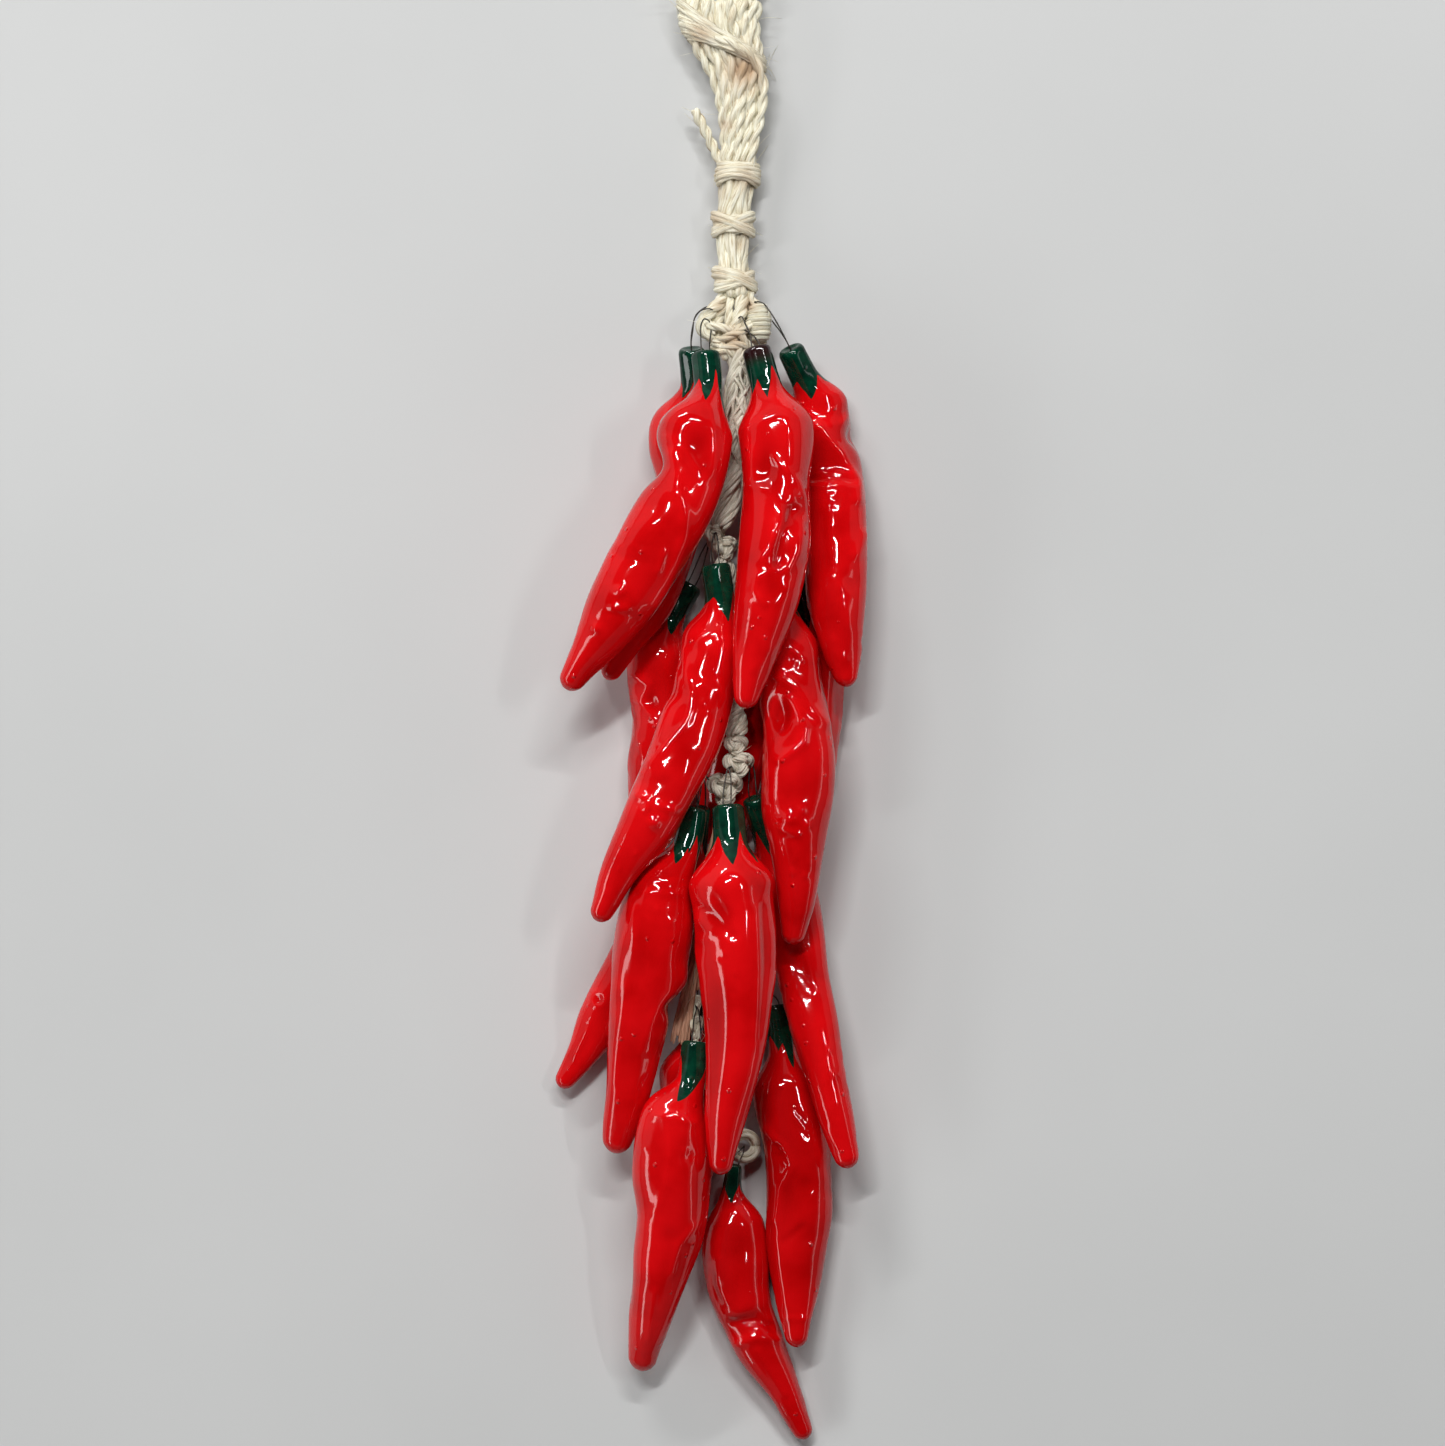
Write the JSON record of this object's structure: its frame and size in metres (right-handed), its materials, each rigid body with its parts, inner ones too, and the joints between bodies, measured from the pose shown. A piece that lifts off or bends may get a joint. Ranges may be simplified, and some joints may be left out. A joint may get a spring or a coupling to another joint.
{
  "type": "decorative ceramic chilli string",
  "caption": "Hanging string of glossy glazed-ceramic red chillies with green stems, wired to a knotted sisal rope with a loop.",
  "frame": {"origin": "middle of the string on the surface it lies on, halfway along and across its outline", "axes": "+X right, +Y up the string towards the hanging loop, +Z out of its shown front; it lies on its back on z = 0"},
  "size_m": [0.128, 0.671, 0.0609],
  "materials": {
    "glaze": "thick glossy glaze, bright red with a dark green painted stem and calyx",
    "sisal": "hairy twisted natural fibre, matt",
    "wire": "thin dark annealed wire"
  },
  "bodies": {
    "root": {"chilli_1_left_back": "glaze", "wire_1_left_back": "wire", "chilli_1_right": "glaze", "wire_1_right": "wire", "chilli_1_left": "glaze", "wire_1_left": "wire", "chilli_1_centre": "glaze", "wire_1_centre": "wire", "chilli_2_left_back": "glaze", "wire_2_left_back": "wire", "chilli_2_back": "glaze", "wire_2_back": "wire", "chilli_2_right_back": "glaze", "wire_2_right_back": "wire", "chilli_2_left": "glaze", "wire_2_left": "wire", "chilli_2_right": "glaze", "wire_2_right": "wire", "chilli_3_left_back": "glaze", "wire_3_left_back": "wire", "chilli_3_right": "glaze", "wire_3_right": "wire", "chilli_3_left": "glaze", "wire_3_left": "wire", "chilli_3_centre": "glaze", "wire_3_centre": "wire", "chilli_4_left_back": "glaze", "wire_4_left_back": "wire", "chilli_4_right": "glaze", "wire_4_right": "wire", "chilli_4_left": "glaze", "wire_4_left": "wire", "chilli_end": "glaze", "wire_end": "wire", "hanging_loop": "sisal", "rope_neck": "sisal", "fibre_wrap": "sisal", "binding_upper": "sisal", "binding_middle": "sisal", "binding_lower": "sisal", "loose_cord_end": "sisal", "knot_top": "sisal", "knot_middle": "sisal", "knot_lower": "sisal", "knot_tail": "sisal", "rope_upper_braid": "sisal", "rope_middle_braid": "sisal", "rope_lower_strand": "sisal", "rope_tail_strand": "sisal", "end_ring": "sisal"}
  },
  "joints": []
}
